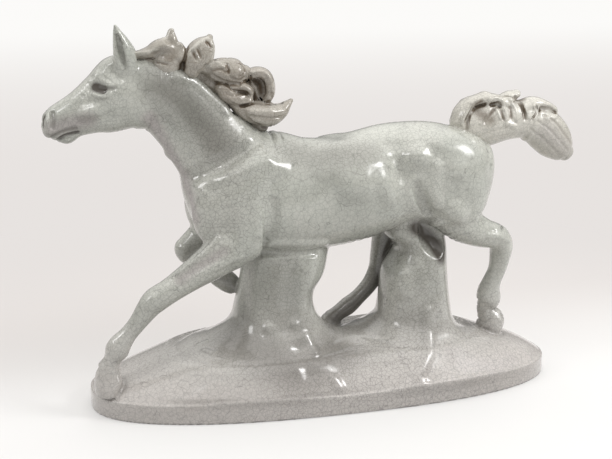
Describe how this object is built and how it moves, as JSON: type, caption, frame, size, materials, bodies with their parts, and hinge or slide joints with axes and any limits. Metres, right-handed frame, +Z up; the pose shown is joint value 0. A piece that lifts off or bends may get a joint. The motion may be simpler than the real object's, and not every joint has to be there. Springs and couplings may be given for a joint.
{
  "type": "horse figurine",
  "caption": "Glazed ceramic figure of a horse at full gallop on an oval domed plinth, borne by rock-like supports under its belly.",
  "frame": {"origin": "middle of the plinth's flat underside", "axes": "+Z up, the head towards -X, the tail towards +X, the horse's left side towards -Y"},
  "size_m": [0.4125, 0.134, 0.2813],
  "materials": {
    "glaze": "glossy pale grey-green crackle glaze",
    "stained_glaze": "glossy crackle glaze with brown stain in the hollows"
  },
  "bodies": {
    "root": {"plinth": "glaze", "barrel": "glaze", "head": "glaze", "neck": "glaze", "left_ear": "glaze", "right_ear": "glaze", "mane_lock_1": "stained_glaze", "mane_lock_2": "stained_glaze", "mane_lock_3": "stained_glaze", "mane_lock_4": "stained_glaze", "mane_lock_5": "stained_glaze", "mane_lock_6": "stained_glaze", "tail_stem": "stained_glaze", "tail_end": "stained_glaze", "tail_lock_1": "stained_glaze", "tail_lock_2": "stained_glaze", "tail_lock_3": "stained_glaze", "left_foreleg": "glaze", "right_foreleg": "glaze", "left_hind_leg": "glaze", "right_hind_leg": "glaze", "front_support": "glaze", "rear_support": "glaze"}
  },
  "joints": []
}
